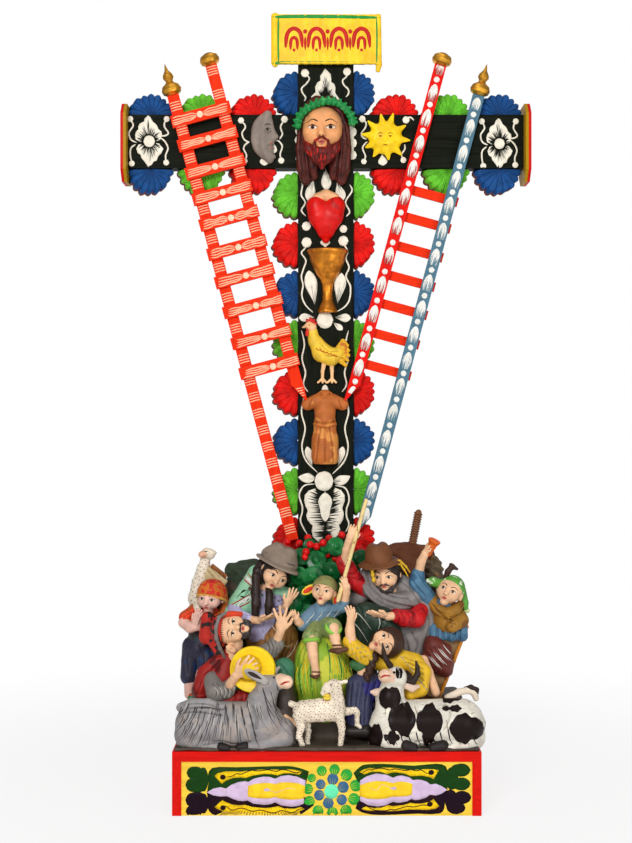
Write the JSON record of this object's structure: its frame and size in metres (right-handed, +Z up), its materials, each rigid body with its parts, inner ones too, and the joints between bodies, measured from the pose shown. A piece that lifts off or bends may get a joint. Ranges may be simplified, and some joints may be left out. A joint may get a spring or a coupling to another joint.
{
  "type": "folk passion cross",
  "caption": "Painted wooden cross with rosettes, reliefs and two ladders on a nailed box plinth, with a crowd of moulded nativity figures at its foot",
  "frame": {"origin": "centre of the plinth's underside, which is also the middle of the whole in X and Y", "axes": "+X to the viewer's right, +Y to the back, +Z up"},
  "size_m": [0.366, 0.16, 0.6868],
  "materials": {
    "red_wood": "glossy red enamel on wood, worn at the edges",
    "yellow_panel": "yellow enamel on wood with painted flowers",
    "bare_wood": "unpainted pale wood, sawn",
    "nails": "dull steel wire",
    "black_board": "black-brown enamel with white brushed ornaments",
    "end_plates": "ochre enamel, red front edge, brown back",
    "red_gloss": "thick glossy red enamel",
    "green_gloss": "thick glossy green enamel",
    "blue_gloss": "thick glossy blue enamel",
    "ladder_red": "orange-red enamel with cream brush lines",
    "ladder_grey": "blue-grey enamel with white dots",
    "gold": "gold paint",
    "yellow_scroll": "yellow enamel with a green border",
    "head_paste": "painted paste, satin",
    "leaf_green": "glossy green enamel",
    "copper_gold": "copper and gold paint",
    "yellow_paste": "glossy yellow enamel",
    "ochre_cloth": "brown-orange enamel with folds",
    "moon_grey": "grey enamel",
    "dark_ground": "rough dark paste",
    "orange_red_paste": "painted paste, satin",
    "cream_wool": "cream paste with small black dots",
    "mint_paste": "painted paste, satin",
    "grey_poncho": "painted paste with brushed folds",
    "poncho_red": "painted paste, satin",
    "blue_grey_paste": "painted paste with white strokes",
    "hay_green": "lime green paste with yellow strands",
    "ochre_paste": "painted paste, satin",
    "dark_red_paste": "painted paste with pale scratches",
    "donkey_grey": "grey paste with dark brush strokes",
    "cow_patches": "cream paste with black patches",
    "hill_brown": "rough brown paste",
    "felt_grey": "grey-brown paint with a darker band",
    "felt_brown": "brown paint with a darker band",
    "hat_yellow": "yellow paint",
    "bell_orange": "orange paint",
    "pale_staff": "pale gold painted stick"
  },
  "bodies": {
    "root": {"plinth_top_board": "red_wood", "plinth_left_side": "red_wood", "plinth_right_side": "red_wood", "plinth_front_panel": "yellow_panel", "plinth_back_panel": "bare_wood", "plinth_floor": "bare_wood", "plinth_nails": "nails", "cross_upright": "black_board", "cross_beam": "black_board", "cross_pegs": "bare_wood", "socket_block": "bare_wood", "left_end_plate": "end_plates", "right_end_plate": "end_plates", "red_rosettes_beam": "red_gloss", "red_rosettes_upright": "red_gloss", "green_rosettes_beam": "green_gloss", "green_rosettes_upright": "green_gloss", "blue_rosettes_beam": "blue_gloss", "blue_rosettes_upright": "blue_gloss", "left_ladder_inner_rail": "ladder_red", "left_ladder_outer_rail": "ladder_red", "left_ladder_rungs": "ladder_red", "left_ladder_finials": "gold", "right_ladder_inner_rail": "ladder_red", "right_ladder_outer_rail": "ladder_grey", "right_ladder_rungs": "ladder_red", "right_ladder_finials": "gold", "ladder_nails": "nails", "title_scroll": "yellow_scroll", "bearded_head": "head_paste", "leaf_crown": "leaf_green", "heart": "red_gloss", "chalice": "copper_gold", "rooster": "yellow_paste", "tunic": "ochre_cloth", "sun": "yellow_paste", "moon": "moon_grey", "ground": "dark_ground", "boy_with_lamb": "orange_red_paste", "carried_lamb": "cream_wool", "kneeling_woman": "mint_paste", "kneeling_man": "grey_poncho", "shepherd": "poncho_red", "child": "blue_grey_paste", "hay_mound": "hay_green", "girl_in_yellow": "yellow_paste", "boy_with_bell": "ochre_paste", "sack": "dark_red_paste", "donkey": "donkey_grey", "cow": "cow_patches", "lamb": "cream_wool", "hills_behind": "hill_brown", "leaf_bush": "leaf_green", "berries": "red_gloss", "womans_hat": "felt_grey", "mans_hat": "felt_brown", "yellow_hat": "hat_yellow", "orange_bell": "bell_orange", "staff": "pale_staff", "notched_pole": "hill_brown"}
  },
  "joints": []
}
